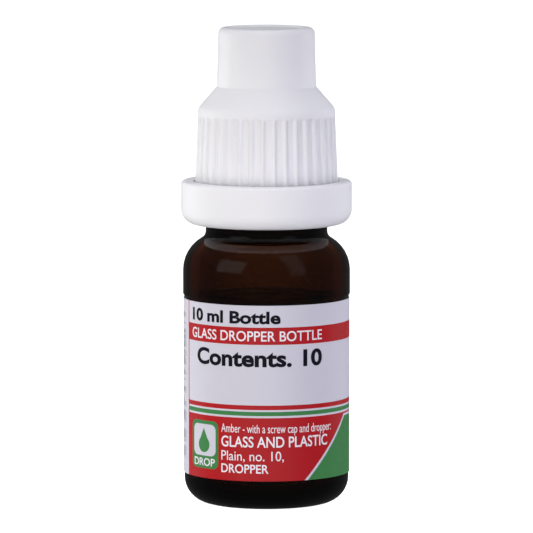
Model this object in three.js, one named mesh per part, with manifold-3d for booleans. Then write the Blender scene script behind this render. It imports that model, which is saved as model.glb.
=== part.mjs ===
// A 10 ml amber glass dropper bottle with a tamper-evident screw cap.
// Millimetres, +Z up. The origin is the centre of the foot, on the surface that the bottle stands on,
// and -Y is the front, where the label faces.

import * as THREE from 'three';
import { mergeVertices } from 'three/addons/utils/BufferGeometryUtils.js';
import Module from 'manifold-3d';

// ---------------------------------------------------------------- driving dimensions

const BODY_R = 12.36; // outside of the glass wall, in the panel that the label sticks to
const WALL = 1.9; // glass wall
const HEEL_R = 3.85; // rounding from the foot up to the wall
const PUSH_UP = 0.9; // how far the middle of the foot is raised
const FOOT_IN_R = 5.6; // inner edge of the flat ring that the bottle stands on
const PANEL_TOP = 31.3; // upper edge of the label's panel
const SHOULDER_R = 12.56; // the wall above the panel stands a little proud of it
const SHOULDER_Z = 35.15; // where the straight wall ends
const SHOULDER_ARC = 5.5; // radius of the shoulder's rounding
const SHOULDER_SWEEP = 60; // degrees
const COLLAR_R = 9.15; // smooth neck between shoulder and bead
const COLLAR_Z = 41; // where the neck turns straight
const COLLAR_FILLET = 1.25; // hollow rounding between shoulder and neck
const BEAD_R = 9.75; // bead that holds the tamper ring down
const BEAD_Z = 44.0;
const BEAD_HEIGHT = 0.9;
const BEAD_TAPER = 1.8; // slope from the bead up to the threaded neck
const NECK_R = 8.05; // neck wall between the thread ridges
const BORE_R = 5.8;
const BORE_Z = 42.7; // where the bore turns straight
const RIM_Z = 57.8;
const RIM_OUT_EDGE = 0.6; // fire-polished edges of the rim
const RIM_IN_EDGE = 0.4;
const INNER_HEEL_R = 3.0;
const INNER_SHOULDER_ARC = 4.2;
const FLOOR_Z = PUSH_UP + 2.0; // glass floor under the contents
const FLOOR_DIP = 0.4; // how much lower the floor is round its edge

const LEVEL_Z = 31.6; // surface of ten millilitres
const CONTENTS_GAP = 0.3;

const LABEL_BOTTOM = 4.7;
const LABEL_TOP = 31.0;
const LABEL_GAP = 0.03;
const LABEL_THICKNESS = 0.1;
const LABEL_LEFT = 15; // facets of the body that the label covers left of the front
const LABEL_RIGHT = 32; // and right of it, which leaves one facet open behind the left side

const PITCH = 3.0;
const THREAD_TURNS = 1.5;
const RIDGE_R = 0.75; // radius of a thread ridge's round section
const NECK_RIDGE_AT = 8.2; // radius that the neck ridge's middle follows
const CAP_RIDGE_AT = 9.2;
const THREAD_Z = 49.6; // start of the neck ridge
const RUN_OUT = Math.PI / 5; // angle over which a ridge sinks into its wall at each end
const RUN_OUT_DEPTH = 0.7;

const RING_R = 12.84;
const RING_BOTTOM = 42.1;
const RING_TOP = 48.6;
const RING_UNDER_R = 2.2; // rounding of the lower outer edge
const RING_MOUTH_R = 11.1; // opening that the cap's skirt stands in
const RING_LIP_R = 9.45; // lip that catches under the bead
const RING_LIP_HEIGHT = 1.2;
const RING_WALL = 1.3;
const RING_EDGE_R = 0.5; // rounding of the upper outer edge
const RING_MOUTH_DEPTH = 1.2;
const MOUTH_EDGE = 0.15;
const LIP_EDGE = 0.3;

const SKIRT_BOTTOM = 47.3;
const SKIRT_FOOT_R = 10.8;
const SKIRT_TOP = 59.0;
const SKIRT_TOP_R = 10.3;
const SKIRT_IN_R = 9.35;
const MOUTH_FLARE = 0.6; // how much wider the skirt's mouth is inside
const MOUTH_LEAD = 1.6; // and how far up the flare runs
const BAND_EDGE = 0.9; // height of the rounded edge between smooth band and cone
const CORNER = 0.3; // small roundings, cut as single slopes
const CONE_TOP = 62.8;
const TOWER_FOOT_R = 7.45; // upper cylinder of the cap
const TOWER_TOP_R = 7.2;
const TOWER_IN_R = 6.0;
const DRAFT = 0.2; // how much wider the tower is inside at its foot
const CEILING_Z = 70.2;
const CAP_TOP = 71.6;
const CAP_EDGE_R = 0.8;
const DISH = 0.3; // how far the cap's top is sunk inside its rim
const DISH_SLOPE = 0.4;
const FLUTES = 38;
const RIB_TURN = 3.3; // degrees that the frontmost rib stands left of the front
const FLUTE_WIDTH = 1.12;
const FLUTE_DEPTH = 0.32;
const FLUTE_TOP = 58.4;
const OVERCUT = 1; // how far a cutter reaches past what it cuts

const FLANGE_R = 7.8; // dropper plug's flange on the rim
const FLANGE_TOP = 59.0;
const SEAT_R = 3.5; // hole in the plug that the nozzle stands in
const SLEEVE_R = 5.7;
const SLEEVE_BOTTOM = 49.6;
const SLEEVE_WALL = 0.9;
const SLEEVE_LEAD = 1.2; // taper that guides the sleeve into the bore
const PLUG_EDGE = 0.2;
const FIT_GAP = 0.1; // clearance between pieces that only rest on each other
const TUBE_WALL = 0.6; // dosing tube under the nozzle
const TUBE_BOTTOM = 51.6;
const SPIGOT_GAP = 0.05; // clearance of the nozzle's foot in the plug
const NOZZLE_FOOT_R = 4.5;
const NOZZLE_FOOT_EDGE = 0.3;
const SPOUT_FOOT_R = 3.7; // the spout tapers in two steps
const SPOUT_WAIST_R = 2.5;
const SPOUT_WAIST_Z = 65;
const NOZZLE_TOP = 68.5;
const NOZZLE_TIP_R = 1.9;
const TIP_EDGE = 0.4;
const CHANNEL_R = 0.7;

const SEAL_R = 5.7; // soft disc under the cap's ceiling
const SEAL_BOTTOM = 68.8;
const PIN_R = 0.4; // pin that stops the nozzle's channel
const PIN_DEPTH = 1.3; // how far it reaches into the channel
const PIN_POINT = 0.1;

const BODY_SEGMENTS = 48;
const CAP_SEGMENTS = 2 * FLUTES;
const INNER_SEGMENTS = 24;
const THREAD_STEPS_PER_TURN = 30;
const RIDGE_SIDES = 8;

// ---------------------------------------------------------------- solids

const manifold = await Module();
manifold.setup();

/** Deletes what keeps vertices apart, joins them, and drops triangles that have no area. */
function welded(geometry) {
  geometry.deleteAttribute('normal');
  geometry.deleteAttribute('uv');
  const joined = mergeVertices(geometry, 1e-5);
  const corners = joined.index.array;
  const kept = [];
  for (let i = 0; i < corners.length; i += 3) {
    const [a, b, c] = [corners[i], corners[i + 1], corners[i + 2]];
    if (a !== b && b !== c && c !== a) kept.push(a, b, c);
  }
  joined.setIndex(kept);
  return joined;
}

/** A closed three.js geometry as a solid that can be joined and cut. */
function solid(geometry) {
  const joined = welded(geometry);
  return new manifold.Manifold(
    new manifold.Mesh({
      numProp: 3,
      vertProperties: new Float32Array(joined.attributes.position.array),
      triVerts: new Uint32Array(joined.index.array),
    }),
  );
}

/** The geometry of a joined or cut solid. */
function geometryOf(body) {
  const mesh = body.getMesh();
  const geometry = new THREE.BufferGeometry();
  geometry.setAttribute('position', new THREE.BufferAttribute(mesh.vertProperties.slice(), 3));
  geometry.setIndex(new THREE.BufferAttribute(mesh.triVerts.slice(), 1));
  geometry.computeVertexNormals();
  return geometry;
}

/** Spins an outline of [radius, height] corners about Z. The outline runs anticlockwise. */
function turned(outline, segments) {
  const points = outline.map(([r, z]) => new THREE.Vector2(r, z));
  return welded(new THREE.LatheGeometry(points, segments).rotateX(Math.PI / 2));
}

/** Corners of an arc round [centre radius, centre height], from one angle to another in degrees. */
function arc(centreR, centreZ, radius, from, to, steps) {
  return Array.from({ length: steps + 1 }, (_, i) => {
    const angle = THREE.MathUtils.degToRad(from + ((to - from) * i) / steps);
    return [centreR + radius * Math.cos(angle), centreZ + radius * Math.sin(angle)];
  });
}

/** The middle line of a right-hand thread ridge, which sinks into its wall at both ends. */
class RidgeLine extends THREE.Curve {
  constructor(radius, startAngle, startZ, sink) {
    super();
    Object.assign(this, { radius, startAngle, startZ, sink });
  }

  getPoint(t, target = new THREE.Vector3()) {
    const turn = t * THREAD_TURNS * 2 * Math.PI;
    const toEnd = Math.min(t, 1 - t) * THREAD_TURNS * 2 * Math.PI;
    const sunk = THREE.MathUtils.smoothstep(RUN_OUT - toEnd, 0, RUN_OUT);
    const r = this.radius + this.sink * sunk;
    const angle = this.startAngle + turn;
    return target.set(r * Math.cos(angle), r * Math.sin(angle), this.startZ + t * THREAD_TURNS * PITCH);
  }
}

/** One round thread ridge as a solid. */
function ridge(radius, startAngle, startZ, sink) {
  const corners = arc(0, 0, RIDGE_R, 0, 360, RIDGE_SIDES).slice(0, RIDGE_SIDES);
  const section = new THREE.Shape(corners.map(([x, y]) => new THREE.Vector2(x, y)));
  return solid(
    new THREE.ExtrudeGeometry(section, {
      steps: Math.round(THREAD_STEPS_PER_TURN * THREAD_TURNS),
      extrudePath: new RidgeLine(radius, startAngle, startZ, sink),
    }),
  );
}

// ---------------------------------------------------------------- pieces

/** Blown and pressed glass: raised foot, round heel and shoulder, bead, threaded neck and bore. */
function glassBottle() {
  const innerR = BODY_R - WALL;
  const outline = [
    [0, PUSH_UP],
    [0.57 * FOOT_IN_R, 0.7 * PUSH_UP],
    [0.93 * FOOT_IN_R, 0.12 * PUSH_UP],
    [FOOT_IN_R, 0],
    ...arc(BODY_R - HEEL_R, HEEL_R, HEEL_R, -90, 0, 7),
    [BODY_R, PANEL_TOP],
    [SHOULDER_R, PANEL_TOP + 0.3],
    ...arc(SHOULDER_R - SHOULDER_ARC, SHOULDER_Z, SHOULDER_ARC, 0, SHOULDER_SWEEP, 8),
    ...arc(COLLAR_R + COLLAR_FILLET, COLLAR_Z, COLLAR_FILLET, 175 + SHOULDER_SWEEP, 180, 3),
    [COLLAR_R, BEAD_Z - 0.3],
    [BEAD_R, BEAD_Z],
    [BEAD_R, BEAD_Z + BEAD_HEIGHT],
    [NECK_R, BEAD_Z + BEAD_HEIGHT + BEAD_TAPER],
    ...arc(NECK_R - RIM_OUT_EDGE, RIM_Z - RIM_OUT_EDGE, RIM_OUT_EDGE, 0, 90, 2),
    [BORE_R + RIM_IN_EDGE, RIM_Z],
    [BORE_R, RIM_Z - RIM_IN_EDGE],
    [BORE_R, BORE_Z],
    [BORE_R + 0.4, BORE_Z - 1.6],
    ...arc(innerR - INNER_SHOULDER_ARC, SHOULDER_Z, INNER_SHOULDER_ARC, 80, 0, 4),
    ...arc(innerR - INNER_HEEL_R, FLOOR_Z - FLOOR_DIP + INNER_HEEL_R, INNER_HEEL_R, 0, -90, 4),
    [0, FLOOR_Z],
  ];
  const thread = ridge(NECK_RIDGE_AT, 0, THREAD_Z, -RUN_OUT_DEPTH);
  return geometryOf(solid(turned(outline, BODY_SEGMENTS)).add(thread));
}

/** Ten millilitres of clear liquid, just inside the glass. */
function contents() {
  const r = BODY_R - WALL - CONTENTS_GAP;
  const bottom = FLOOR_Z - FLOOR_DIP + CONTENTS_GAP;
  return turned(
    [
      [0, FLOOR_Z + CONTENTS_GAP],
      ...arc(r - INNER_HEEL_R, bottom + INNER_HEEL_R, INNER_HEEL_R, -90, 0, 4),
      [r, LEVEL_Z],
      [0, LEVEL_Z],
    ],
    BODY_SEGMENTS,
  );
}

/** A paper label that wraps nearly all round the panel, facet for facet with the glass. */
function paperLabel() {
  const inner = BODY_R + LABEL_GAP;
  const step = (2 * Math.PI) / BODY_SEGMENTS;
  const onArc = (radius, facet) => {
    const angle = -Math.PI / 2 + (facet - LABEL_LEFT) * step;
    return new THREE.Vector2(radius * Math.cos(angle), radius * Math.sin(angle));
  };
  const facets = Array.from({ length: LABEL_LEFT + LABEL_RIGHT + 1 }, (_, i) => i);
  const outside = facets.map((i) => onArc(inner + LABEL_THICKNESS, i));
  const inside = facets.map((i) => onArc(inner, i)).reverse();
  const wrap = new THREE.ExtrudeGeometry(new THREE.Shape([...outside, ...inside]), {
    depth: LABEL_TOP - LABEL_BOTTOM,
    bevelEnabled: false,
  });
  return welded(wrap.translate(0, 0, LABEL_BOTTOM));
}

/** The plug pressed into the neck: a flange that rests on the rim and a sleeve down the bore. */
function dropperPlug() {
  const sleeveInR = SLEEVE_R - SLEEVE_WALL;
  const underside = RIM_Z + FIT_GAP;
  return turned(
    [
      [sleeveInR, SLEEVE_BOTTOM],
      [SLEEVE_R - SLEEVE_WALL / 2, SLEEVE_BOTTOM],
      [SLEEVE_R, SLEEVE_BOTTOM + SLEEVE_LEAD],
      [SLEEVE_R, underside],
      [FLANGE_R - PLUG_EDGE, underside],
      [FLANGE_R, underside + PLUG_EDGE],
      [FLANGE_R, FLANGE_TOP - PLUG_EDGE],
      [FLANGE_R - PLUG_EDGE, FLANGE_TOP],
      [SEAT_R, FLANGE_TOP],
      [SEAT_R, underside],
      [sleeveInR, underside - SLEEVE_WALL],
      [sleeveInR, SLEEVE_BOTTOM],
    ],
    INNER_SEGMENTS,
  );
}

/** The nozzle that stands in the plug: a tapered spout above and a thin dosing tube below. */
function dropperNozzle() {
  const tubeR = CHANNEL_R + TUBE_WALL;
  const spigotR = SEAT_R - SPIGOT_GAP;
  const foot = FLANGE_TOP + SPIGOT_GAP;
  return turned(
    [
      [CHANNEL_R, TUBE_BOTTOM],
      [tubeR, TUBE_BOTTOM],
      [tubeR, RIM_Z - TUBE_WALL - FIT_GAP],
      [spigotR, RIM_Z - FIT_GAP],
      [spigotR, foot],
      [NOZZLE_FOOT_R, foot],
      [NOZZLE_FOOT_R, foot + NOZZLE_FOOT_EDGE],
      [SPOUT_FOOT_R, foot + 3 * NOZZLE_FOOT_EDGE],
      [SPOUT_WAIST_R, SPOUT_WAIST_Z],
      [NOZZLE_TIP_R, NOZZLE_TOP - TIP_EDGE],
      [NOZZLE_TIP_R - TIP_EDGE, NOZZLE_TOP],
      [CHANNEL_R, NOZZLE_TOP],
      [CHANNEL_R, TUBE_BOTTOM],
    ],
    INNER_SEGMENTS,
  );
}

/** The wide ring that stays on the neck when the cap is first broken loose. */
function tamperRing() {
  const inR = RING_R - RING_WALL;
  const under = RING_BOTTOM + RING_UNDER_R;
  const lipTop = RING_BOTTOM + RING_LIP_HEIGHT;
  return turned(
    [
      [RING_LIP_R + LIP_EDGE, RING_BOTTOM],
      ...arc(RING_R - RING_UNDER_R, under, RING_UNDER_R, -90, 0, 6),
      ...arc(RING_R - RING_EDGE_R, RING_TOP - RING_EDGE_R, RING_EDGE_R, 0, 90, 3),
      [RING_MOUTH_R + MOUTH_EDGE, RING_TOP],
      [RING_MOUTH_R, RING_TOP - MOUTH_EDGE],
      [RING_MOUTH_R, RING_TOP - RING_MOUTH_DEPTH],
      [inR, RING_TOP - RING_MOUTH_DEPTH - RING_EDGE_R],
      [inR, under + LIP_EDGE],
      [inR - RING_EDGE_R, lipTop - MOUTH_EDGE],
      [RING_LIP_R, lipTop],
      [RING_LIP_R, RING_BOTTOM + LIP_EDGE],
      [RING_LIP_R + LIP_EDGE, RING_BOTTOM],
    ],
    BODY_SEGMENTS,
  );
}

/** One cutter for the groove between two grip ribs, standing at the front. */
function fluteCutter() {
  const height = FLUTE_TOP - SKIRT_BOTTOM + OVERCUT;
  const lean = Math.atan2(SKIRT_FOOT_R - SKIRT_TOP_R, SKIRT_TOP - SKIRT_BOTTOM);
  const box = new THREE.BoxGeometry(FLUTE_WIDTH, OVERCUT, height);
  box.translate(0, -OVERCUT / 2, -height / 2);
  box.rotateX(-lean);
  const crest = THREE.MathUtils.mapLinear(FLUTE_TOP, SKIRT_BOTTOM, SKIRT_TOP, SKIRT_FOOT_R, SKIRT_TOP_R);
  return solid(box.translate(0, -(crest - FLUTE_DEPTH), FLUTE_TOP));
}

/** The ribbed screw cap with its tall hollow tower over the nozzle and a thread inside. */
function screwCap() {
  const topR = TOWER_TOP_R - CAP_EDGE_R;
  const outline = [
    [SKIRT_IN_R + MOUTH_FLARE, SKIRT_BOTTOM],
    [SKIRT_FOOT_R, SKIRT_BOTTOM],
    [SKIRT_TOP_R, SKIRT_TOP],
    [SKIRT_TOP_R - 0.2 * CORNER, SKIRT_TOP + BAND_EDGE / 2],
    [SKIRT_TOP_R - CORNER, SKIRT_TOP + BAND_EDGE],
    [TOWER_FOOT_R + CORNER, CONE_TOP - CORNER],
    [TOWER_FOOT_R, CONE_TOP + 0.3 * CORNER],
    ...arc(topR, CAP_TOP - CAP_EDGE_R, CAP_EDGE_R, 0, 90, 4),
    [topR - CORNER, CAP_TOP],
    [topR - CORNER - DISH_SLOPE, CAP_TOP - DISH],
    [0, CAP_TOP - DISH],
    [0, CEILING_Z],
    [TOWER_IN_R, CEILING_Z],
    [TOWER_IN_R + DRAFT, CONE_TOP - BAND_EDGE / 2],
    [SKIRT_IN_R - CORNER, SKIRT_TOP],
    [SKIRT_IN_R, SKIRT_TOP - BAND_EDGE],
    [SKIRT_IN_R, SKIRT_BOTTOM + MOUTH_LEAD],
    [SKIRT_IN_R + MOUTH_FLARE, SKIRT_BOTTOM],
  ];
  const shell = solid(turned(outline, CAP_SEGMENTS));
  const thread = ridge(CAP_RIDGE_AT, -Math.PI, THREAD_Z, RUN_OUT_DEPTH);
  const cutter = fluteCutter();
  let cap = shell.add(thread);
  for (let i = 0; i < FLUTES; i++) {
    cap = cap.subtract(cutter.rotate(0, 0, ((i + 0.5) * 360) / FLUTES - RIB_TURN));
  }
  return geometryOf(cap);
}

/** The soft disc under the cap's ceiling, with the pin that stops the nozzle's channel. */
function capSeal() {
  const pinEnd = NOZZLE_TOP - PIN_DEPTH;
  return turned(
    [
      [0, pinEnd],
      [PIN_R - PIN_POINT, pinEnd + PIN_POINT],
      [PIN_R, pinEnd + 3 * PIN_POINT],
      [PIN_R, SEAL_BOTTOM],
      [SEAL_R - PLUG_EDGE, SEAL_BOTTOM],
      [SEAL_R, SEAL_BOTTOM + PLUG_EDGE],
      [SEAL_R, CEILING_Z - FIT_GAP],
      [0, CEILING_Z - FIT_GAP],
    ],
    INNER_SEGMENTS,
  );
}

// ---------------------------------------------------------------- the assembly

const whitePlastic = { color: 0xecebf0, roughness: 0.38, metalness: 0 };
const finishes = {
  glass_bottle: { color: 0x4a2410, roughness: 0.05, metalness: 0, transparent: true, opacity: 0.9 },
  liquid: { color: 0xf2f4f2, roughness: 0.02, metalness: 0, transparent: true, opacity: 0.3 },
  paper_label: { color: 0xf4f3f6, roughness: 0.55, metalness: 0 },
  dropper_plug: { color: 0xf0f0ee, roughness: 0.45, metalness: 0 },
  dropper_nozzle: { color: 0xf0f0ee, roughness: 0.45, metalness: 0 },
  tamper_ring: whitePlastic,
  screw_cap: whitePlastic,
  cap_seal: { color: 0xe6e4dc, roughness: 0.6, metalness: 0 },
};

/** Adds a named mesh with its own material to a group. */
function addPiece(group, name, geometry) {
  const mesh = new THREE.Mesh(geometry, new THREE.MeshStandardMaterial(finishes[name]));
  mesh.name = name;
  group.add(mesh);
}

const bottle = new THREE.Group();
addPiece(bottle, 'glass_bottle', glassBottle());
addPiece(bottle, 'liquid', contents());
addPiece(bottle, 'paper_label', paperLabel());
addPiece(bottle, 'dropper_plug', dropperPlug());
addPiece(bottle, 'dropper_nozzle', dropperNozzle());

const closure = new THREE.Group();
addPiece(closure, 'tamper_ring', tamperRing());
addPiece(closure, 'screw_cap', screwCap());
addPiece(closure, 'cap_seal', capSeal());

const dropperBottle = new THREE.Group();
dropperBottle.add(bottle, closure);

export default dropperBottle;
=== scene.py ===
# %% [markdown]
# # Dressing a glass dropper bottle
# The object is a ten millilitre amber glass bottle. It has a paper label, a pressed-in dropper and a tall
# white screw cap over a tamper ring. Its working model is already packed as a frame, with every size,
# body and joint fixed. This lesson makes the fine surfaces and the finishes round that frame. Each CAD
# node could be kept and only repainted, but its facets are coarse, so each visible node is replaced by
# a finer piece of the same size that rides on the same body.

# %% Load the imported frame
import math

import bpy
from mathutils import Matrix, Vector


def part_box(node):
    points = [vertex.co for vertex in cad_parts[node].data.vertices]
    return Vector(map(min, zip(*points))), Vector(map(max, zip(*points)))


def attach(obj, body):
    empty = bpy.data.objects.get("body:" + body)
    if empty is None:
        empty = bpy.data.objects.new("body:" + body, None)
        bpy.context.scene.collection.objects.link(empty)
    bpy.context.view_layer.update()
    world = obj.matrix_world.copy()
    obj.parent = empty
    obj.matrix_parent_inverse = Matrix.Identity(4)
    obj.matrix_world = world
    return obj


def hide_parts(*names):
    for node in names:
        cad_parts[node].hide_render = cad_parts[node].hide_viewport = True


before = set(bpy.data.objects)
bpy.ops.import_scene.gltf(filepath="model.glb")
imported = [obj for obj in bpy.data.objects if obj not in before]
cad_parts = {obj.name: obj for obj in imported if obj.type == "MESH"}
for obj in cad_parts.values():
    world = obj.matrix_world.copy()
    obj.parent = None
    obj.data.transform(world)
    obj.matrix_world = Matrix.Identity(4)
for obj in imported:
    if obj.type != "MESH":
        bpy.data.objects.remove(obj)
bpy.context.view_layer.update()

MM = 0.001

# %% [markdown]
# ## Camera
# The camera comes first, so that every later look is taken from the same place. The bottle is seen from
# a little above and from far away through a long lens, which keeps its sides nearly parallel. A short
# lens close by could frame it too, but it would spread the shoulders and hide the cap's top.

# %% Place the camera
CAMERA_DISTANCE = 0.8795
CAMERA_HEIGHT = 0.1281
AIM_HEIGHT = 0.03557  # about half way up the bottle
LENS = 397.2  # millimetres, on a sensor 36 millimetres wide


def aim(thing, target):
    """Turns a camera or a lamp to look at a point, with its top upwards."""
    thing.rotation_euler = (Vector(target) - thing.location).to_track_quat("-Z", "Y").to_euler()


camera_data = bpy.data.cameras.new("studio_camera")
camera_data.lens = LENS
camera_data.clip_end = 20
camera = bpy.data.objects.new("studio_camera", camera_data)
bpy.context.collection.objects.link(camera)
camera.location = (0, -CAMERA_DISTANCE, CAMERA_HEIGHT)
aim(camera, (0, 0, AIM_HEIGHT))
bpy.context.scene.camera = camera
print(f"camera {CAMERA_DISTANCE:.2f} m in front of the bottle and {CAMERA_HEIGHT:.2f} m up")

# %% [markdown]
# ## Sizes
# Every size is read from the frame's boxes, or is a small detail inside them. The names say which part
# of the real bottle each value belongs to.

# %% Read the sizes
glass_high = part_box("glass_bottle")[1]
label_low, label_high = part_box("paper_label")
ring_low, ring_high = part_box("tamper_ring")
cap_low, cap_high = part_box("screw_cap")
plug_low, plug_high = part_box("dropper_plug")
nozzle_low, nozzle_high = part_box("dropper_nozzle")
seal_low, seal_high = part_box("cap_seal")
liquid_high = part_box("liquid")[1]

PAPER = 0.1 * MM  # the label's thickness
GLUE = 0.03 * MM  # between the paper and the glass
BODY_R = glass_high.x  # the shoulder's wall
PANEL_R = label_high.y - (PAPER + GLUE)  # the wall under the label
RIM_Z = glass_high.z
WALL = 1.9 * MM  # the glass under the label is this thick
BORE_R = 5.8 * MM  # inside the neck
NECK_R = 8.05 * MM  # the neck, without its thread
BEAD_R = 9.75 * MM  # the ring of glass that holds the tamper ring
COLLAR_R = 9.15 * MM  # below the bead
CAP_BORE_R = 9.35 * MM  # inside the cap's skirt
PITCH = 3 * MM  # the climb of one turn of thread
print(f"glass {2 * BODY_R / MM:.1f} mm across, rim at {RIM_Z / MM:.1f} mm")

# %% [markdown]
# ## Turning a piece on a lathe
# The glass, cap, ring and dropper are all round, so each one is an outline spun about the bottle's axis.
# They could also be built up from stacked cylinders, but a real mould is turned too, and an outline
# keeps every rounding in one place. An outline is a list of corners: radius, height and how far the
# corner is rounded.

# %% Round the corners of an outline
FACET = math.radians(11)  # the most that a rounded corner turns in one step


def soften(corners):
    """Turns (radius, height, rounding) corners in millimetres into points in metres."""
    points = []
    for i, (r, z, rounding) in enumerate(corners):
        here = Vector((r, z))
        if rounding == 0:
            points.append(here * MM)
            continue
        back = (Vector(corners[i - 1][:2]) - here).normalized()
        ahead = (Vector(corners[(i + 1) % len(corners)][:2]) - here).normalized()
        half = back.angle(ahead) / 2
        centre = here + (back + ahead).normalized() * rounding / math.sin(half)
        start = here + back * rounding / math.tan(half) - centre
        stop = here + ahead * rounding / math.tan(half) - centre
        sweep = math.atan2(start.x * stop.y - start.y * stop.x, start.dot(stop))
        steps = max(2, math.ceil(abs(sweep) / FACET))
        for k in range(steps + 1):
            points.append((centre + Matrix.Rotation(sweep * k / steps, 2) @ start) * MM)
    return points


def span(start, stop, steps):
    """Corners between two corners, evenly spaced and not rounded, so that a long wall has rows."""
    return [(*Vector(start).lerp(Vector(stop), k / steps), 0) for k in range(1, steps)]


# %% Select pieces and vertices
def only(piece):
    """Leaves edit mode and selects one piece alone, or none: an operator acts on all that is selected."""
    if bpy.context.object and bpy.context.object.mode != "OBJECT":
        bpy.ops.object.mode_set(mode="OBJECT")
    bpy.ops.object.select_all(action="DESELECT")
    if piece:
        piece.select_set(True)
        bpy.context.view_layer.objects.active = piece


def pick(piece, test):
    """Opens a piece in edit mode with only the vertices that pass a test selected."""
    only(piece)
    for v in piece.data.vertices:
        v.select = test(v)
    for part in (*piece.data.edges, *piece.data.polygons):
        part.select = False
    bpy.ops.object.mode_set(mode="EDIT")
    bpy.ops.mesh.select_mode(type="VERT")


# %% Spin an outline
SAME_POINT = 2e-6  # metres: vertices closer than this are merged


def draw(name, points):
    """Draws points (radius, height) as one chain of edges, by extruding a vertex. Stays in edit mode."""
    only(None)
    bpy.ops.mesh.primitive_plane_add(size=MM, location=(0, 0, 0))
    piece = bpy.context.object
    piece.name = piece.data.name = name
    bpy.ops.object.mode_set(mode="EDIT")
    bpy.ops.mesh.merge(type="CENTER")
    at = Vector((0, 0, 0))
    for i, (r, z) in enumerate(points):
        step = Vector((r, 0, z)) - at
        if i == 0:
            bpy.ops.transform.translate(value=step)
        else:
            bpy.ops.mesh.extrude_region_move(TRANSFORM_OT_translate={"value": step})
        at += step
    return piece


def turn(name, corners, steps, closed=False):
    """Spins an outline once round the bottle's axis. A closed outline comes back to its first corner."""
    points = soften(corners)
    if closed:
        points.append(points[0])
    piece = draw(name, points)
    bpy.ops.mesh.select_all(action="SELECT")
    bpy.ops.mesh.spin(steps=steps, angle=2 * math.pi, center=(0, 0, 0), axis=(0, 0, 1))
    bpy.ops.mesh.select_all(action="SELECT")
    bpy.ops.mesh.remove_doubles(threshold=SAME_POINT)
    bpy.ops.mesh.normals_make_consistent(inside=False)
    bpy.ops.object.mode_set(mode="OBJECT")
    return piece


# %% Finish a piece
def smooth(piece, degrees=35):
    """Shades a piece smooth, except across edges sharper than the angle."""
    only(piece)
    bpy.ops.object.shade_smooth_by_angle(angle=math.radians(degrees))


def report(piece):
    """Prints a finished piece's size and how many faces it has."""
    sides = " x ".join(f"{s / MM:.2f}" for s in piece.dimensions)
    print(f"{piece.name}: {sides} mm, {len(piece.data.polygons)} faces")


def finish(piece, material, body, nodes=()):
    """Gives a piece its material and its body, and hides the CAD nodes that it stands for."""
    piece.data.materials.clear()
    piece.data.materials.append(material)
    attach(piece, body)
    if nodes:
        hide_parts(*nodes)
    report(piece)


# %% [markdown]
# ## Finishes
# Each finish is one material built from nodes. Colours and numbers that are even all over are set on the
# shader itself. Noise then drives only what really varies, such as roughness and fine relief. A picture
# could be wrapped round the piece instead, but noise has no seam and stays fine however close one looks.

# %% Material helpers
def new_material(name, colour, roughness, **inputs):
    """Makes a material with one principled shader. Gives it back with its node tree and its shader."""
    material = bpy.data.materials.new(name)
    material.use_nodes = True
    tree = material.node_tree
    shader = tree.nodes["Principled BSDF"]
    shader.inputs["Base Color"].default_value = (*colour, 1)
    shader.inputs["Roughness"].default_value = roughness
    for label, value in inputs.items():
        shader.inputs[label.replace("_", " ")].default_value = value
    print("material:", name)
    return material, tree, shader


def noise(tree, scale, detail, stretch=(1, 1, 1)):
    """Noise on the object's own coordinates. Scale is in cells per metre, detail in finer layers."""
    where = tree.nodes.new("ShaderNodeTexCoord")
    mapping = tree.nodes.new("ShaderNodeMapping")
    mapping.inputs["Scale"].default_value = stretch
    texture = tree.nodes.new("ShaderNodeTexNoise")
    texture.inputs["Scale"].default_value = scale
    texture.inputs["Detail"].default_value = detail
    tree.links.new(where.outputs["Object"], mapping.inputs["Vector"])
    tree.links.new(mapping.outputs["Vector"], texture.inputs["Vector"])
    return texture.outputs["Fac"]


def ranged(tree, source, low, high):
    """Spreads a noise, which mostly lies between 0.3 and 0.7, over low to high."""
    node = tree.nodes.new("ShaderNodeMapRange")
    node.inputs["From Min"].default_value = 0.3
    node.inputs["From Max"].default_value = 0.7
    node.inputs["To Min"].default_value = low
    node.inputs["To Max"].default_value = high
    tree.links.new(source, node.inputs["Value"])
    return node.outputs["Result"]


def relief(tree, shader, source, distance, strength, after=None):
    """Adds a bump, its height in metres, to a shader's normal, over the bump that comes before it."""
    bump = tree.nodes.new("ShaderNodeBump")
    bump.inputs["Distance"].default_value = distance
    bump.inputs["Strength"].default_value = strength
    tree.links.new(source, bump.inputs["Height"])
    if after:
        tree.links.new(after, bump.inputs["Normal"])
    tree.links.new(bump.outputs["Normal"], shader.inputs["Normal"])
    return bump.outputs["Normal"]


def mix_colour(tree, share, first, second):
    """Mixes two colours, each a colour or a socket, by a share."""
    node = tree.nodes.new("ShaderNodeMix")
    node.data_type = "RGBA"
    for socket, value in ((node.inputs[6], first), (node.inputs[7], second)):  # its colour sockets
        if isinstance(value, bpy.types.NodeSocket):
            tree.links.new(value, socket)
        else:
            socket.default_value = (*value, 1)
    tree.links.new(share, node.inputs[0])
    return node.outputs[2]


# %% [markdown]
# ### Amber glass
# Amber glass takes light away along its depth, so thick edges go nearly black and a thin shoulder glows
# brown. A brown surface colour could imitate that, but it would be the same everywhere. An absorbing
# volume inside clear glass does what the real one does. The skin of moulded glass is slightly wavy. The
# liquid is clear too, and bends light a little less than the glass.

# %% Make the amber glass and the liquid
AMBER_COLOUR = (0.53, 0.36, 0.15, 1)  # red passes best and blue worst
AMBER_DEPTH = 2200  # how strongly each metre of glass absorbs


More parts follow.
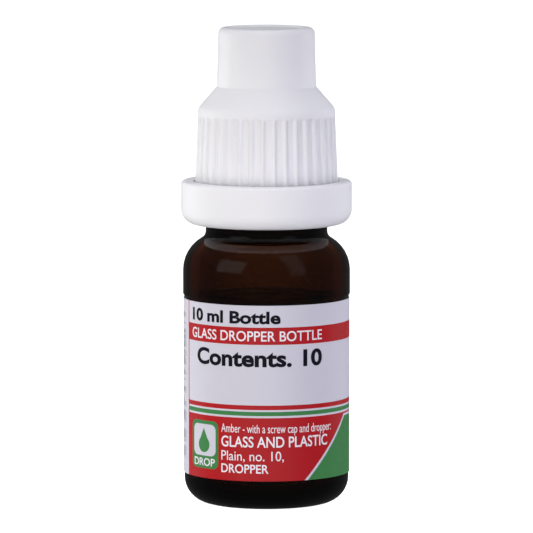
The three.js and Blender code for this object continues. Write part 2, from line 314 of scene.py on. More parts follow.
def amber_glass():
    material, tree, shader = new_material(
        "amber_glass", (1, 1, 1), 0.03, Transmission_Weight=1.0, IOR=1.5
    )
    relief(tree, shader, noise(tree, 260, 2), 0.02 * MM, 0.5)
    tree.links.new(ranged(tree, noise(tree, 900, 4), 0.01, 0.035), shader.inputs["Roughness"])
    depth = tree.nodes.new("ShaderNodeVolumeAbsorption")
    depth.inputs["Color"].default_value = AMBER_COLOUR
    depth.inputs["Density"].default_value = AMBER_DEPTH
    tree.links.new(depth.outputs["Volume"], tree.nodes["Material Output"].inputs["Volume"])
    return material


def clear_liquid():
    material, tree, shader = new_material(
        "clear_liquid", (1, 1, 1), 0.0, Transmission_Weight=1.0, IOR=1.35
    )
    relief(tree, shader, noise(tree, 120, 1), 0.004 * MM, 0.3)
    return material


AMBER = amber_glass()
LIQUID = clear_liquid()

# %% [markdown]
# ### White moulded plastic
# The cap and the tamper ring are white plastic, satin and a little waxy, so light goes a short way in.
# A flat white would look like chalk. Faint flow marks from the mould vary its gloss. The dropper is a
# softer and waxier plastic, and the seal inside the cap is a foam of small cells.

# %% Make the plastic of the cap and the ring
def cap_plastic():
    material, tree, shader = new_material(
        "cap_plastic", (0.84, 0.84, 0.87), 0.32, Subsurface_Weight=0.15, Subsurface_Scale=0.6 * MM
    )
    shader.inputs["Specular IOR Level"].default_value = 0.4
    shader.inputs["Subsurface Radius"].default_value = (1.0, 0.9, 0.85)
    tree.links.new(ranged(tree, noise(tree, 420, 3), 0.29, 0.36), shader.inputs["Roughness"])
    clouds = mix_colour(tree, noise(tree, 90, 2), (0.825, 0.825, 0.86), (0.865, 0.862, 0.885))
    tree.links.new(clouds, shader.inputs["Base Color"])
    skin = relief(tree, shader, noise(tree, 2200, 2), 0.004 * MM, 0.2)
    relief(tree, shader, noise(tree, 300, 2, stretch=(1, 1, 0.3)), 0.02 * MM, 0.2, after=skin)
    return material


CAP_WHITE = cap_plastic()


# %% Make the dropper's plastic and the seal's foam
def dropper_plastic():
    material, tree, shader = new_material(
        "dropper_plastic", (0.86, 0.87, 0.86), 0.34, Subsurface_Weight=0.4, Subsurface_Scale=1.2 * MM
    )
    tree.links.new(ranged(tree, noise(tree, 600, 3), 0.28, 0.42), shader.inputs["Roughness"])
    relief(tree, shader, noise(tree, 2500, 3), 0.008 * MM, 0.3)
    return material


def seal_foam():
    material, tree, shader = new_material("seal_foam", (0.8, 0.79, 0.74), 0.8)
    cells = tree.nodes.new("ShaderNodeTexVoronoi")
    cells.inputs["Scale"].default_value = 3500
    where = tree.nodes.new("ShaderNodeTexCoord")
    tree.links.new(where.outputs["Object"], cells.inputs["Vector"])
    relief(tree, shader, cells.outputs["Distance"], 0.05 * MM, 0.5)
    return material


DROPPER_WHITE = dropper_plastic()
SEAL = seal_foam()

# %% [markdown]
# ## The glass bottle
# The bottle is one outline: raised foot, round heel, straight wall, round shoulder, collar, bead and neck,
# then back down the bore and round the inside. A solid bottle with no inside would be easier, but light
# goes through the glass, so the wall's true thickness shows.

# %% Turn the glass
ROUND = 144  # steps once round
FLOOR_EDGE, FLOOR_MIDDLE = 2.5, 2.9  # heights of the floor inside, in millimetres
INNER_HEEL = 3.0  # the rounding where the floor meets the wall


def glass_outline():
    """The bottle's half section in millimetres, from the foot's middle to the floor inside."""
    body, panel, bore, neck = BODY_R / MM, PANEL_R / MM, BORE_R / MM, NECK_R / MM
    bead, collar, rim = BEAD_R / MM, COLLAR_R / MM, RIM_Z / MM
    inner = panel - WALL / MM
    heel, step = 3.85, 31.3  # the heel's rounding, and where the label's panel ends
    return [
        (0, 0.9, 0),
        (4.7, 0.62, 2.0),
        (5.6, 0, 0.4),
        (panel, 0, heel),
        *span((panel, 5), (panel, 31), 6),
        (panel, step, 0.2),
        (body, 31.6, 0.2),
        (body, 38.325, 5.5),
        (collar, 40.294, 1.24),
        (collar, 43.75, 0.15),
        (bead, 44.0, 0.25),
        (bead, 45.0, 0.35),
        (neck, 46.7, 0.8),
        (neck, rim, 0.6),
        (bore, rim, 0.4),
        (bore, 39.9, 1.2),
        (inner, 38.6, 4.2),
        (inner, FLOOR_EDGE, INNER_HEEL),
        (0, FLOOR_MIDDLE, 0),
    ]


glass = turn("amber_bottle", glass_outline(), ROUND)

# %% [markdown]
# The thread is a round ridge that climbs the neck. It is a small circle carried round by the Screw
# modifier, then joined to the neck with a Boolean. Its ends are pinched into the wall, as a mould cuts them.

# %% Cut the screw threads
TURNS = 1.5
TURN_STEPS = 72
RIDGE_R = 0.75 * MM
RIDGE_OUT = 0.15 * MM  # how far the ridge's middle stands off its wall
RIDGE_SIDES = 20
THREAD_Z = 49.6 * MM  # where both threads start
PINCH_RUN = 1.4 * MM  # how far an end runs on before it is closed
PINCH_TO = 0.25  # an end shrinks to this share as it runs into the wall


def thread(name, follow_r, start_angle, sink):
    """A right-hand thread ridge of round section, whose two ends run into the wall."""
    only(None)
    bpy.ops.mesh.primitive_circle_add(
        vertices=RIDGE_SIDES, radius=RIDGE_R, location=(follow_r, 0, THREAD_Z), rotation=(math.pi / 2, 0, 0)
    )
    ridge = bpy.context.object
    ridge.name = ridge.data.name = name
    bpy.ops.object.transform_apply(location=True, rotation=True, scale=True)
    screw = ridge.modifiers.new("climb", "SCREW")
    screw.axis = "Z"
    screw.angle = TURNS * 2 * math.pi
    screw.screw_offset = TURNS * PITCH
    screw.steps = screw.render_steps = round(TURN_STEPS * TURNS)
    screw.use_merge_vertices = False
    bpy.ops.object.modifier_apply(modifier=screw.name)
    count = len(ridge.data.vertices)
    pinch(ridge, lambda v: v.index >= count - RIDGE_SIDES, 1, sink)
    pinch(ridge, lambda v: v.index < RIDGE_SIDES, -1, sink)
    bpy.ops.mesh.select_all(action="SELECT")
    bpy.ops.mesh.normals_make_consistent(inside=False)
    bpy.ops.object.mode_set(mode="OBJECT")
    ridge.rotation_euler = (0, 0, start_angle)
    bpy.ops.object.transform_apply(location=True, rotation=True, scale=True)
    return ridge


def pinch(ridge, at_end, onward, sink):
    """Closes one open end of a ridge by extruding it on and into the wall. Stays in edit mode."""
    pick(ridge, at_end)
    ring = [v.co for v in ridge.data.vertices if at_end(v)]
    centre = sum(ring, Vector()) / len(ring)
    outward = Vector((centre.x, centre.y, 0)).normalized()
    move = Vector((0, 0, 1)).cross(outward) * onward * PINCH_RUN + outward * sink
    bpy.ops.mesh.extrude_region_move(TRANSFORM_OT_translate={"value": move})
    bpy.ops.transform.resize(value=(PINCH_TO, PINCH_TO, PINCH_TO), center_override=centre + move)
    bpy.ops.mesh.edge_face_add()


def join_solids(piece, other):
    """Joins another closed piece into this one and removes it."""
    only(piece)
    union = piece.modifiers.new("join", "BOOLEAN")
    union.operation = "UNION"
    union.solver = "EXACT"
    union.object = other
    bpy.ops.object.modifier_apply(modifier=union.name)
    only(other)
    bpy.ops.object.delete()


join_solids(glass, thread("neck_ridge", NECK_R + RIDGE_OUT, start_angle=0, sink=-0.8 * MM))
smooth(glass)
finish(glass, AMBER, "bottle", ["glass_bottle"])

# %% [markdown]
# ## The liquid
# Ten millilitres of clear liquid fill the bottle to just over the label. Its surface climbs the glass a
# little all round, which is the meniscus. A cut through the glass's inside would give the same body, but
# the meniscus would be missing, so the liquid has its own outline, a hair clear of the glass.

# %% Fill the bottle
def liquid_outline():
    """The liquid's half section, from the middle of the floor to the middle of the surface."""
    inner = (PANEL_R - WALL) / MM - 0.02
    level = liquid_high.z / MM
    clear = 0.04
    return [
        (0, FLOOR_MIDDLE + clear, 0),
        (inner, FLOOR_EDGE + clear, INNER_HEEL),
        (inner, level + 0.5, 0),
        (inner - 0.35, level + 0.06, 0.4),
        (inner - 1.4, level, 0.5),
        (0, level, 0),
    ]


liquid = turn("liquid_fill", liquid_outline(), ROUND)
smooth(liquid, 60)
finish(liquid, LIQUID, "bottle", ["liquid"])

# %% [markdown]
# ## The dropper
# The dropper is soft natural plastic in two pieces: a plug that grips the bore with small rings, and a
# nozzle with a fine channel and a dosing tube. Both only show when the cap is off. They could be one
# turned shape, but the real ones are moulded apart and meet at a line that shows on the flange.

# %% Turn the dropper's plug
DROPPER_ROUND = 96  # steps once round, for the small inner pieces


def plug_outline():
    """The plug's section, from the sleeve's foot out over the flange and back down inside."""
    sleeve, wall, grip = 5.7, 0.9, 0.07  # grip is how far each small ring stands out
    under, top = 57.9, plug_high.z / MM
    flange = plug_high.x / MM
    rings = []
    for z in (52.0, 54.0, 56.0):
        rings += [(sleeve, z - 0.35, 0.1), (sleeve + grip, z, 0.2), (sleeve, z + 0.35, 0.1)]
    return [
        (sleeve - wall, plug_low.z / MM, 0),
        (sleeve - 0.4, plug_low.z / MM, 0.15),
        (sleeve, plug_low.z / MM + 1.2, 0.5),
        *rings,
        (sleeve, under, 0.1),
        (flange, under, 0.2),
        (flange, top, 0.3),
        (5.4, top, 0.1),
        (5.2, top - 0.25, 0.1),
        (4.9, top - 0.25, 0.1),
        (4.7, top, 0.1),
        (3.5, top, 0.05),
        (3.5, under, 0.05),
        (sleeve - wall, under - 0.8, 0.3),
    ]


plug = turn("dropper_plug_fine", plug_outline(), DROPPER_ROUND, closed=True)
smooth(plug)
finish(plug, DROPPER_WHITE, "bottle", ["dropper_plug"])


# %% Turn the dropper's nozzle
def nozzle_outline():
    """The nozzle's section, from the dosing tube's foot up its outside to the tip."""
    channel, tip = 0.7, 1.9
    bottom, top = nozzle_low.z / MM, nozzle_high.z / MM
    foot = plug_high.z / MM + 0.05
    return [
        (channel, bottom, 0),
        (channel + 0.6, bottom, 0.2),
        (channel + 0.6, 57.1, 0.4),
        (3.45, 57.7, 0.2),
        (3.45, foot, 0.05),
        (4.5, foot, 0.1),
        (4.5, foot + 0.35, 0.15),
        (3.65, foot + 0.9, 0.8),
        (2.5, foot + 5.95, 0.4),
        (tip, top, 0.45),
        (channel + 0.25, top, 0.1),
        (channel, top - 0.3, 0.1),
    ]


nozzle = turn("dropper_nozzle_fine", nozzle_outline(), DROPPER_ROUND, closed=True)
smooth(nozzle)
finish(nozzle, DROPPER_WHITE, "bottle", ["dropper_nozzle"])

# %% [markdown]
# ## The tamper ring
# The wide ring under the cap snaps over the bead. It is one turned shell, open at its mouth for the
# cap's skirt. Thin bridges, moulded between ring and skirt, broke off when the cap was first turned:
# their stubs stay in the ring's mouth. A pattern of bumps could hint at them, but a few small cubes with
# softened edges cost little and catch the light.

# %% Turn the ring
def ring_outline():
    """The ring's section, from the lip under the bead out, up to the mouth and back down inside."""
    outer, low, high = ring_high.x / MM, ring_low.z / MM, ring_high.z / MM
    mouth, lip, wall = 10.98, 9.45, 1.3
    return [
        (lip + 0.3, low, 0.12),
        (outer, low, 2.2),
        (outer, high, 0.5),
        (mouth, high, 0.16),
        (mouth, high - 1.25, 0.2),
        (outer - wall, high - 1.7, 0.2),
        (outer - wall, 44.2, 0.4),
        (outer - wall - 0.7, 43.2, 0.3),
        (lip, 43.3, 0.15),
        (lip, low + 0.3, 0.12),
    ]


ring = turn("tamper_ring_fine", ring_outline(), ROUND, closed=True)

# %% Add the broken bridges
BRIDGES = 16
STUB_PLACE = (11.0 * MM, 0, 48.1 * MM)
STUB_SIDES = (0.34, 0.5, 0.35)  # millimetres outwards, along and up


def bridge_stub(angle):
    """One broken bridge in the ring's mouth, small and soft-edged."""
    only(None)
    bpy.ops.mesh.primitive_cube_add(size=MM, location=STUB_PLACE)
    stub = bpy.context.object
    stub.scale = STUB_SIDES
    bpy.ops.object.transform_apply(location=True, rotation=True, scale=True)
    bpy.ops.object.mode_set(mode="EDIT")
    bpy.ops.mesh.select_all(action="SELECT")
    bpy.ops.mesh.bevel(offset=0.05 * MM, segments=2, affect="EDGES")
    bpy.ops.object.mode_set(mode="OBJECT")
    stub.rotation_euler = (0, 0, angle)
    bpy.ops.object.transform_apply(location=True, rotation=True, scale=True)
    return stub


def merge_into(piece, others):
    """Joins other objects into a piece as loose parts of one mesh."""
    only(piece)
    for other in others:
        other.select_set(True)
    bpy.ops.object.join()


merge_into(ring, [bridge_stub(2 * math.pi * k / BRIDGES) for k in range(BRIDGES)])
smooth(ring)
finish(ring, CAP_WHITE, "ring", ["tamper_ring"])

# %% [markdown]
# ## The screw cap
# The cap is a ribbed skirt, a smooth band, a cone and a tall tower over the nozzle. The shell is turned
# with twelve steps to each grip rib, and the valleys between ribs are then pressed in by scaling their
# columns towards the axis. Ribs could be added as separate bars, but pressing keeps one clean skin.

# %% Turn the cap
RIBS = 38
STEPS_PER_RIB = 12
RIB_TOP = 58.5 * MM
ROW = 0.15  # millimetres between the rows where the ribs fade out
DISH = 0.2  # millimetres that the top is sunk inside its rim


def cap_outline():
    """The cap's section, from the skirt's foot up its outside to the top, then down its inside."""
    low, top, rib_top = cap_low.z / MM, cap_high.z / MM, RIB_TOP / MM
    foot, waist, inside = cap_high.x / MM, 10.3, CAP_BORE_R / MM
    tower_foot, tower_top, tower_in, ceiling = 7.45, 7.2, 6.0, 70.2
    slope = 0.033  # millimetres that the skirt narrows in each millimetre of height, near its top
    return [
        (inside + 0.6, low, 0.1),
        (foot, low, 0.12),
        *span((foot, low), (waist + slope, rib_top - 2 * ROW), 4),
        *[(waist + slope * (3 - k) * ROW, rib_top + k * ROW, 0) for k in range(-4, 2)],
        (waist, 59.5, 1.5),
        (tower_foot, 62.75, 0.35),
        (tower_top, top, 0.85),
        (tower_top - 1.35, top, 0.12),
        (tower_top - 1.6, top - DISH, 0.1),
        (0, top - DISH, 0),
        (0, ceiling, 0),
        (tower_in, ceiling, 0.4),
        (tower_in + 0.2, 62.3, 0.6),
        (inside - 0.1, 59.0, 0.5),
        (inside, low + 1.6, 0.2),
    ]


cap = turn("screw_cap_fine", cap_outline(), RIBS * STEPS_PER_RIB, closed=True)

# %% Press in the valleys between the ribs
VALLEY = [1, 1, 1, 1, 0.5, 0, 0, 0, 0.5, 1, 1, 1]  # share of the depth at each step of one rib
VALLEY_DEPTH = 0.3 * MM
VALLEY_FOOT = 47.35 * MM
FADE_FOOT = RIB_TOP - 0.45 * MM  # the valleys get shallower in two steps above this height
FADE_MIDDLE = RIB_TOP - 0.2 * MM
FADE_TOP = RIB_TOP - 0.05 * MM
FADES = (
    (VALLEY_FOOT, FADE_FOOT, 1),
    (FADE_FOOT, FADE_MIDDLE, 0.75),
    (FADE_MIDDLE, FADE_TOP, 0.35),
)
OUTER_SKIN = 10 * MM  # the skirt's inside lies within this radius and its outside beyond it
SKIRT_R = 10.5 * MM  # the outside's middling radius
RIB_TURN = math.radians(-3.3)  # sets a valley just beside the middle of the front


def press_valleys(piece, share, bottom, top, depth):
    """Moves the skirt's outer columns of one share of depth towards the axis."""
    step = 2 * math.pi / (RIBS * STEPS_PER_RIB)

    def in_valley(v):
        column = round(math.atan2(v.co.y, v.co.x) / step) % STEPS_PER_RIB
        return bottom < v.co.z < top and v.co.xy.length > OUTER_SKIN and VALLEY[column] == share

    pick(piece, in_valley)
    inward = 1 - share * depth / SKIRT_R
    bpy.ops.transform.resize(value=(inward, inward, 1), center_override=(0, 0, 0))
    bpy.ops.object.mode_set(mode="OBJECT")


for share in (0.5, 1):
    for bottom, top, fade in FADES:
        press_valleys(cap, share, bottom, top, fade * VALLEY_DEPTH)
cap.rotation_euler = (0, 0, RIB_TURN)
bpy.ops.object.transform_apply(location=True, rotation=True, scale=True)
smooth(cap, 50)
finish(cap, CAP_WHITE, "cap", ["screw_cap"])

# %% [markdown]
# Inside the cap runs its own thread, half a pitch away from the neck's. A soft seal with a fine pin sits
# under the ceiling and stops the nozzle. On top is the small scar where the plastic entered the mould.
# Each stays a piece of its own: joined to the shell with a Boolean, they would break up its even rows.

# %% Add the cap's thread
cap_thread = thread("cap_thread", CAP_BORE_R - RIDGE_OUT, start_angle=-math.pi, sink=0.6 * MM)
smooth(cap_thread, 60)
finish(cap_thread, CAP_WHITE, "cap")


# %% Turn the seal and the gate's scar
def seal_outline():
    """The seal's half section: the pin, the underside with its groove, and the flat top."""
    low, top, radius, pin = 68.8, seal_high.z / MM, seal_high.x / MM, 0.4
    return [
        (0, seal_low.z / MM, 0),
        (pin, seal_low.z / MM + 0.05, 0.2),
        (pin, low, 0.2),
        (3.4, low, 0.1),
        (3.6, low + 0.2, 0.1),
        (4.0, low + 0.2, 0.1),
        (4.2, low, 0.1),
        (radius, low, 0.3),
        (radius, top, 0.1),
        (0, top, 0),
    ]


seal = turn("cap_seal_fine", seal_outline(), DROPPER_ROUND)
smooth(seal)
finish(seal, SEAL, "cap", ["cap_seal"])


def gate_outline():
    """The scar's half section: a low disc with a small point, set into the sunk top."""
    sunk, radius = cap_high.z / MM - DISH, 0.75
    return [
        (0, sunk - 0.1, 0),
        (radius, sunk - 0.1, 0),
        (radius, sunk + 0.06, 0.05),
        (0.3, sunk + 0.07, 0),
        (0, sunk + 0.12, 0),
    ]


gate = turn("mould_gate", gate_outline(), 32)
smooth(gate)
finish(gate, CAP_WHITE, "cap")

# %% [markdown]
# ## The paper label
# The label is a sheet of coated paper wrapped nearly all the way round, in a panel set slightly into the
# glass. A narrow gap stays open between its ends, behind the left side. It is cut flat with rounded
# corners, sliced into narrow columns so that it can curve, bent round the glass and given its thickness.
# A tube with a slot would have the same shape, but a flat sheet keeps a map of its face, and the printed
# fields are laid out on that map in millimetres.

# %% Bend things round the glass
def slice_columns(piece, width):
    """Cuts a flat piece into upright columns of about a width, so that it can bend."""
    xs = [v.co.x for v in piece.data.vertices]
    count = max(1, math.ceil((max(xs) - min(xs)) / width))
    bpy.ops.object.mode_set(mode="EDIT")
    for k in range(1, count):
        bpy.ops.mesh.select_all(action="SELECT")
        x = min(xs) + (max(xs) - min(xs)) * k / count
        bpy.ops.mesh.bisect(plane_co=(x, 0, 0), plane_no=(1, 0, 0))
    bpy.ops.object.mode_set(mode="OBJECT")


def wrap(piece, radius):
    """Bends a flat piece in the XZ plane round the bottle's axis. Its middle stays at the front."""
    only(piece)
    xs = [v.co.x for v in piece.data.vertices]
    bend = piece.modifiers.new("wrap", "SIMPLE_DEFORM")
    bend.deform_method = "BEND"
    bend.deform_axis = "Z"
    bend.angle = (max(xs) - min(xs)) / radius
    bpy.ops.object.modifier_apply(modifier=bend.name)
    piece.location = (0, -radius, 0)
    bpy.ops.object.transform_apply(location=True, rotation=True, scale=True)


def flat_sheet(name, left, right, low, high, corner):
    """A flat sheet in the XZ plane that faces the front, with rounded corners."""
    only(None)
    bpy.ops.mesh.primitive_plane_add(size=1, rotation=(math.pi / 2, 0, 0))
    sheet = bpy.context.object
    sheet.name = sheet.data.name = name
    sheet.scale = (right - left, high - low, 1)
    sheet.location = ((left + right) / 2, 0, (low + high) / 2)
    bpy.ops.object.transform_apply(location=True, rotation=True, scale=True)
    bpy.ops.object.mode_set(mode="EDIT")
    bpy.ops.mesh.select_all(action="SELECT")
    bpy.ops.mesh.bevel(offset=corner, segments=6, affect="VERTICES")
    bpy.ops.object.mode_set(mode="OBJECT")
    return sheet


# %% Cut and wrap the label
LABEL_R = PANEL_R + GLUE
LABEL_LEFT = LABEL_R * math.radians(-112.5)  # the sheet's two ends, along the glass from the front
LABEL_RIGHT = LABEL_R * math.radians(240)
LABEL_BOTTOM, LABEL_TOP = label_low.z, label_high.z
LABEL_CORNER = 1.2 * MM
LABEL_COLUMN = 0.45 * MM

label = flat_sheet("label_sheet", LABEL_LEFT, LABEL_RIGHT, LABEL_BOTTOM, LABEL_TOP, LABEL_CORNER)
slice_columns(label, LABEL_COLUMN)
print(f"label cut {(LABEL_RIGHT - LABEL_LEFT) / MM:.1f} x {(LABEL_TOP - LABEL_BOTTOM) / MM:.1f} mm")
wrap(label, LABEL_R)
only(label)
paper = label.modifiers.new("paper", "SOLIDIFY")
paper.thickness = PAPER
paper.offset = 1
bpy.ops.object.modifier_apply(modifier=paper.name)
smooth(label, 40)

# %% [markdown]
# ### Printed paper
# The fields of colour are masks on the sheet's own map: a red band, thin red and green rules, a red field
# with a plain green badge, and a green panel with a slanting white edge. They could be separate films
# of ink, but flat print has no edge that the hand can feel. Lettering comes later.

# %% Masks on the label
class Layout:
    """Masks on the label's map. Across is in millimetres right of the front, and up is above the foot."""

    def __init__(self, tree):
        self.tree = tree
        where = tree.nodes.new("ShaderNodeTexCoord")
        split = tree.nodes.new("ShaderNodeSeparateXYZ")
        tree.links.new(where.outputs["UV"], split.inputs["Vector"])
        length, height = (LABEL_RIGHT - LABEL_LEFT) / MM, (LABEL_TOP - LABEL_BOTTOM) / MM
        self.across = self.reckon("MULTIPLY_ADD", split.outputs["X"], length, LABEL_LEFT / MM)
        self.up = self.reckon("MULTIPLY_ADD", split.outputs["Y"], height, LABEL_BOTTOM / MM)

    def reckon(self, operation, *values):
        """One Math node. Each value is a number or a socket."""
        node = self.tree.nodes.new("ShaderNodeMath")
        node.operation = operation
        for socket, value in zip(node.inputs, values):
            if isinstance(value, bpy.types.NodeSocket):
                self.tree.links.new(value, socket)
            else:
                socket.default_value = value
        return node.outputs[0]

    def above(self, value, limit):
        """1 where a value is greater than a limit."""
        return self.reckon("GREATER_THAN", value, limit)

    def below(self, value, limit):
        """1 where a value is less than a limit."""
        return self.reckon("LESS_THAN", value, limit)

    def between(self, value, low, high):
        """1 where a value lies between two limits."""
        return self.both(self.above(value, low), self.below(value, high))

    def both(self, first, second):
        """1 where both masks are 1."""
        return self.reckon("MULTIPLY", first, second)

    def either(self, first, second):
        """1 where at least one mask is 1."""
        return self.reckon("MAXIMUM", first, second)

    def without(self, first, second):
        """1 where the first mask is 1 and the second is 0."""
        return self.both(first, self.reckon("SUBTRACT", 1, second))

    def off(self, value, middle):
        """How far a value is from a middle, on either side."""
        return self.reckon("ABSOLUTE", self.reckon("SUBTRACT", value, middle))

    def rounded_box(self, left, right, low, high, corner):
        """1 inside a box with rounded corners."""
        square = []
        for value, a, b in ((self.across, left, right), (self.up, low, high)):
            past = self.reckon("SUBTRACT", self.off(value, (a + b) / 2), (b - a) / 2 - corner)
            square.append(self.reckon("POWER", self.reckon("MAXIMUM", past, 0), 2))
        return self.below(self.reckon("ADD", *square), corner * corner)

    def disc(self, across, up, radius):
        """1 inside a circle."""
        return self.rounded_box(across - radius, across + radius, up - radius, up + radius, radius)


# %% Lay out the red and green fields
MARGIN = -14.6  # all places are in millimetres, as the layout measures them
MARGIN_RULE = 0.28  # the width of the upright red rule
RED_BAND = (25.16, 27.74)
RED_RULE = (15.4, 16.08)
GREEN_RULE = (14.5, 15.12)
FIELD_TOP = 14.2
PANEL_TOP, PANEL_FOOT, PANEL_LEAN = 13.6, 1.95, 0.944  # the panel's edge leans right by this share
WHITE_EDGE, WHITE_TOP = 0.5, 13.95  # the white edge round the panel
BADGE = (-13.45, -7.6, 6.15, 13.35, 1.0)  # left, right, low, high and corner
BADGE_WINDOW = (-12.95, -8.1, 8.05, 12.8, 0.9)
DROP_X, DROP_Z, DROP_R, DROP_TIP = -10.5, 9.75, 1.2, 12.25


def badge_drop(lay):
    """The plain drop in the badge: a disc with a point on top."""
    half_width = lay.reckon("MULTIPLY", lay.reckon("SUBTRACT", DROP_TIP, lay.up), 0.5)
    point = lay.both(
        lay.between(lay.up, DROP_Z + 0.2, DROP_TIP),
        lay.below(lay.off(lay.across, DROP_X), half_width),
    )
    return lay.either(lay.disc(DROP_X, DROP_Z, DROP_R), point)


def colour_fields(lay):
    """The masks of the red ink and of the green ink."""
    front = lay.above(lay.across, MARGIN)
    edge_line = lay.reckon("ADD", lay.reckon("MULTIPLY", lay.up, PANEL_LEAN), PANEL_FOOT)
    slant = lay.reckon("SUBTRACT", lay.across, edge_line)
    panel = lay.both(lay.above(slant, 0), lay.below(lay.up, PANEL_TOP))
    white_edge = lay.both(lay.above(slant, -WHITE_EDGE), lay.below(lay.up, WHITE_TOP))
    badge = lay.rounded_box(*BADGE)
    bars = lay.either(lay.between(lay.up, *RED_BAND), lay.between(lay.up, *RED_RULE))
    red = lay.both(front, lay.either(bars, lay.below(lay.up, FIELD_TOP)))
    red = lay.without(red, lay.either(white_edge, badge))
    red = lay.either(red, lay.between(lay.across, MARGIN - MARGIN_RULE, MARGIN))
    green = lay.both(front, lay.either(lay.between(lay.up, *GREEN_RULE), panel))
    badge_window = lay.without(lay.rounded_box(*BADGE_WINDOW), badge_drop(lay))
    green = lay.either(green, lay.without(badge, badge_window))
    return red, green


# %% Lay out the small print on the side
SIDE_PRINT = (-21.5, -16.3)  # its place across
SIDE_PRINT_HEIGHT = (7, 29)  # and up
ROWS_PER_MM = 1.15
ROW_SHARE = 0.42  # the share of a row that letters fill
WORD_GAPS = 0.47  # noise below this is a gap between words


def side_print(lay):
    """Rows of small print that run up the label, too small to read: stripes broken up by noise."""
    place = lay.reckon("FRACT", lay.reckon("MULTIPLY", lay.across, ROWS_PER_MM))
    words = lay.above(noise(lay.tree, 1, 2, stretch=(150, 150, 1400)), WORD_GAPS)
    rows = lay.both(lay.below(place, ROW_SHARE), words)
    area = lay.both(lay.between(lay.across, *SIDE_PRINT), lay.between(lay.up, *SIDE_PRINT_HEIGHT))
    return lay.both(rows, area)


# %% Print the paper
PAPER_WHITE = (0.6, 0.59, 0.67)
RED_INK = (0.40, 0.007, 0.011)
GREEN_INK = (0.045, 0.2, 0.06)
SIDE_INK = (0.03, 0.03, 0.04)


def uneven(tree, colour, scale, detail, share):
    """A colour that varies a little in noise, from itself to a share of itself."""
    return mix_colour(tree, noise(tree, scale, detail), colour, [c * share for c in colour])


def printed_paper():
    material, tree, shader = new_material("printed_paper", PAPER_WHITE, 0.45)
    shader.inputs["Specular IOR Level"].default_value = 0.25
    lay = Layout(tree)
    red, green = colour_fields(lay)
    ground = uneven(tree, PAPER_WHITE, 500, 3, 0.97)
    inked = mix_colour(tree, red, ground, uneven(tree, RED_INK, 800, 2, 1.12))
    inked = mix_colour(tree, green, inked, uneven(tree, GREEN_INK, 800, 2, 1.15))
    inked = mix_colour(tree, side_print(lay), inked, SIDE_INK)
    tree.links.new(inked, shader.inputs["Base Color"])
    tree.links.new(ranged(tree, noise(tree, 1500, 3), 0.34, 0.48), shader.inputs["Roughness"])
    relief(tree, shader, noise(tree, 6000, 3), 0.004 * MM, 0.4)
    return material


finish(label, printed_paper(), "bottle", ["paper_label"])

# %% [markdown]
# ### Lettering
# The lettering is generic: a volume and plain words. Each line is text turned into a thin mesh, sized to
# its place on the label, sliced and bent like the label. An image of the words could be laid on the
# paper, but letters cut as shapes stay sharp at any distance.

# %% Make the inks
def ink(name, colour):
    """A dull ink with slightly uneven cover."""
    material, tree, shader = new_material(name, colour, 0.45)
    shader.inputs["Specular IOR Level"].default_value = 0.1
    thin = [min(1, c * 1.25 + 0.003) for c in colour]
    tree.links.new(mix_colour(tree, noise(tree, 1500, 2), colour, thin), shader.inputs["Base Color"])
    tree.links.new(ranged(tree, noise(tree, 2500, 2), 0.36, 0.5), shader.inputs["Roughness"])
    return material


BLACK = ink("black_ink", (0.006, 0.006, 0.012))
WHITE = ink("white_print", (0.70, 0.68, 0.73))

# %% Write lines on the label
INK_THICKNESS = 0.02 * MM
PRINT_R = LABEL_R + PAPER - 0.002 * MM  # a hair inside the paper's face, so that no gap shows
EXTRUDE = 0.05  # half the depth of text of size 1
CAPITAL = 0.7  # the height of a capital letter in text of size 1
LETTER_COLUMN = 0.6 * MM


def write(name, words, left, right, base, height, material, weight=0.0):
    """Prints one line of words between two places across the label. Places and sizes in millimetres."""
    only(None)
    bpy.ops.object.text_add(rotation=(math.pi / 2, 0, 0))
    line = bpy.context.object
    line.data.body = words
    line.data.size = 1
    line.data.offset = weight
    line.data.extrude = EXTRUDE
    line.data.resolution_u = 5
    bpy.ops.object.convert(target="MESH")
    line = bpy.context.object
    line.name = line.data.name = name
    bpy.ops.object.transform_apply(location=True, rotation=True, scale=True)
    low = Vector([min(v.co[i] for v in line.data.vertices) for i in range(3)])
    high = Vector([max(v.co[i] for v in line.data.vertices) for i in range(3)])
    wide = (right - left) * MM / (high.x - low.x)
    size = Vector((wide, INK_THICKNESS / (2 * EXTRUDE), height * MM / CAPITAL))
    line.scale = size
    line.location = (left * MM - low.x * size.x, -INK_THICKNESS / 2, base * MM)
    bpy.ops.object.transform_apply(location=True, rotation=True, scale=True)
    slice_columns(line, LETTER_COLUMN)
    wrap(line, PRINT_R)
    finish(line, material, "bottle")


write("volume_line", "10 ml Bottle", -13.4, 2.1, 28.35, 1.75, BLACK, 0.034)
write("band_line", "GLASS DROPPER BOTTLE", -13.5, 9.0, 25.7, 1.5, WHITE, 0.008)
write("contents_line", "Contents. 10", -12.1, 9.0, 21.95, 2.35, BLACK, 0.034)
write("small_line_1", "Amber - with a screw cap and dropper:", -7.1, 10.9, 11.95, 1.3, WHITE)
write("small_line_2", "GLASS AND PLASTIC", -7.1, 10.1, 9.8, 1.6, WHITE, 0.012)
write("small_line_3", "Plain, no. 10,", -7.1, 2.6, 7.75, 1.45, WHITE)
write("small_line_4", "DROPPER", -7.1, 0.3, 5.9, 1.3, WHITE, 0.012)
write("badge_line", "DROP", -12.9, -8.3, 6.55, 1.15, WHITE, 0.012)

# %% [markdown]
# ## The studio
# The bottle stands on a white floor in an even white room. The floor glows by itself and takes no shadow,
# as a lit table of white glass does. A lit paper sweep would be simpler, but it goes grey under the
# bottle. The room looks much dimmer in reflections, as black flags beside a real bottle keep it out of
# dark glass. It casts no light on dull surfaces, so the lamps alone shape the white plastic.

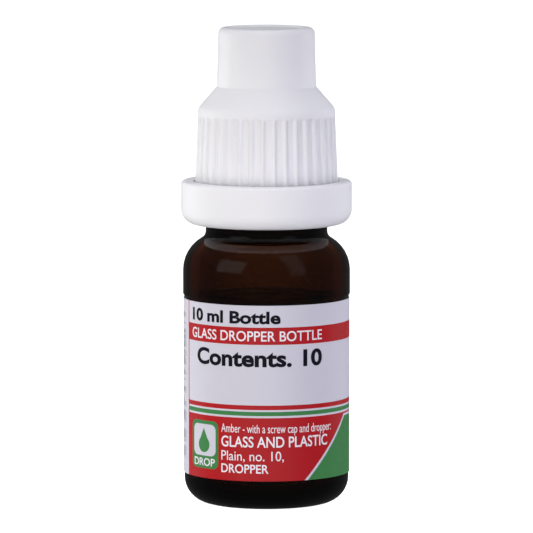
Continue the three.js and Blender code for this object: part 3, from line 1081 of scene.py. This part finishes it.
# %% Floor and room
FLOOR_GLOW = 1.05
ROOM_IN_REFLECTIONS = 0.06  # the room's brightness in a mirror, where 1 is what the camera sees

only(None)
bpy.ops.mesh.primitive_circle_add(vertices=96, radius=2.5, fill_type="NGON", location=(0, 0, 0))
floor = bpy.context.object
floor.name = floor.data.name = "studio_floor"
floor_paint, _, floor_shader = new_material("studio_floor", (0.6, 0.6, 0.6), 0.9)
floor_shader.inputs["Emission Color"].default_value = (1, 1, 1, 1)
floor_shader.inputs["Emission Strength"].default_value = FLOOR_GLOW
floor.data.materials.append(floor_paint)
floor.visible_glossy = floor.visible_diffuse = floor.visible_shadow = False

world = bpy.data.worlds.new("white_room")
bpy.context.scene.world = world
world.use_nodes = True
room = world.node_tree
path = room.nodes.new("ShaderNodeLightPath")
dim = room.nodes.new("ShaderNodeMath")
dim.operation = "MULTIPLY_ADD"
dim.inputs[1].default_value = ROOM_IN_REFLECTIONS - 1
dim.inputs[2].default_value = 1
room.links.new(path.outputs["Is Glossy Ray"], dim.inputs[0])
room.links.new(dim.outputs[0], room.nodes["Background"].inputs["Strength"])
room.nodes["Background"].inputs["Color"].default_value = (1, 1, 1, 1)
world.cycles_visibility.diffuse = False
bpy.context.scene.view_settings.view_transform = "Standard"

# %% [markdown]
# ### Lamps
# Two large soft lamps in front, a wide one on the left and a tall one on the right, give the two pale
# windows on the glass shoulder. They alone would leave the white cap flat, so three small lamps stand
# close in front, a little low, and the cap gets darker towards its top. Two more stand behind its edges,
# one on each side, and keep those edges bright. A large lamp overhead and one behind fill the rest. Only
# the two windows are seen in reflections.

# %% Set the lamps
LAMP_AIM = Vector((0, 0, 0.04))  # the top of the glass shoulder


def softbox(name, azimuth, elevation, distance, width, height, glow, colour=(1, 1, 1), mirrored=True):
    """A rectangular lamp, its place in degrees round from the front and up. Glow is how bright it looks."""
    lamp = bpy.data.lights.new(name, "AREA")
    lamp.shape = "RECTANGLE"
    lamp.size, lamp.size_y = width, height
    lamp.energy = glow * math.pi * width * height
    lamp.color = colour
    holder = bpy.data.objects.new(name, lamp)
    bpy.context.collection.objects.link(holder)
    turn_to, rise = math.radians(azimuth), math.radians(elevation)
    way = Vector((math.sin(turn_to) * math.cos(rise), -math.cos(turn_to) * math.cos(rise), math.sin(rise)))
    holder.location = LAMP_AIM + way * distance
    aim(holder, LAMP_AIM)
    holder.visible_glossy = mirrored
    print(f"lamp {name}: {distance:.2f} m away, {lamp.energy:.2f} W")


softbox("left_window", -54, 24, 0.7, 0.5, 0.42, 0.31)
softbox("right_window", 44, 32, 0.7, 0.3, 0.8, 0.17, (0.93, 0.93, 1))
softbox("left_side", -122, -6, 0.15, 0.15, 0.15, 4.0, mirrored=False)
softbox("left_front", -45, -9, 0.12, 0.13, 0.13, 1.27, (1, 1, 0.97), mirrored=False)
softbox("front_low", 0, -11, 0.12, 0.13, 0.13, 1.5, (1, 0.96, 0.93), mirrored=False)
softbox("right_front", 45, -9, 0.12, 0.13, 0.13, 0.86, (0.75, 0.77, 1), mirrored=False)
softbox("right_side", 122, -6, 0.15, 0.15, 0.15, 3.3, (0.97, 0.96, 1), mirrored=False)
softbox("top_fill", 0, 85, 0.9, 1.2, 1.2, 2.05, (0.95, 0.95, 1), mirrored=False)
softbox("back_fill", 180, 20, 0.9, 1, 1, 0.4, mirrored=False)
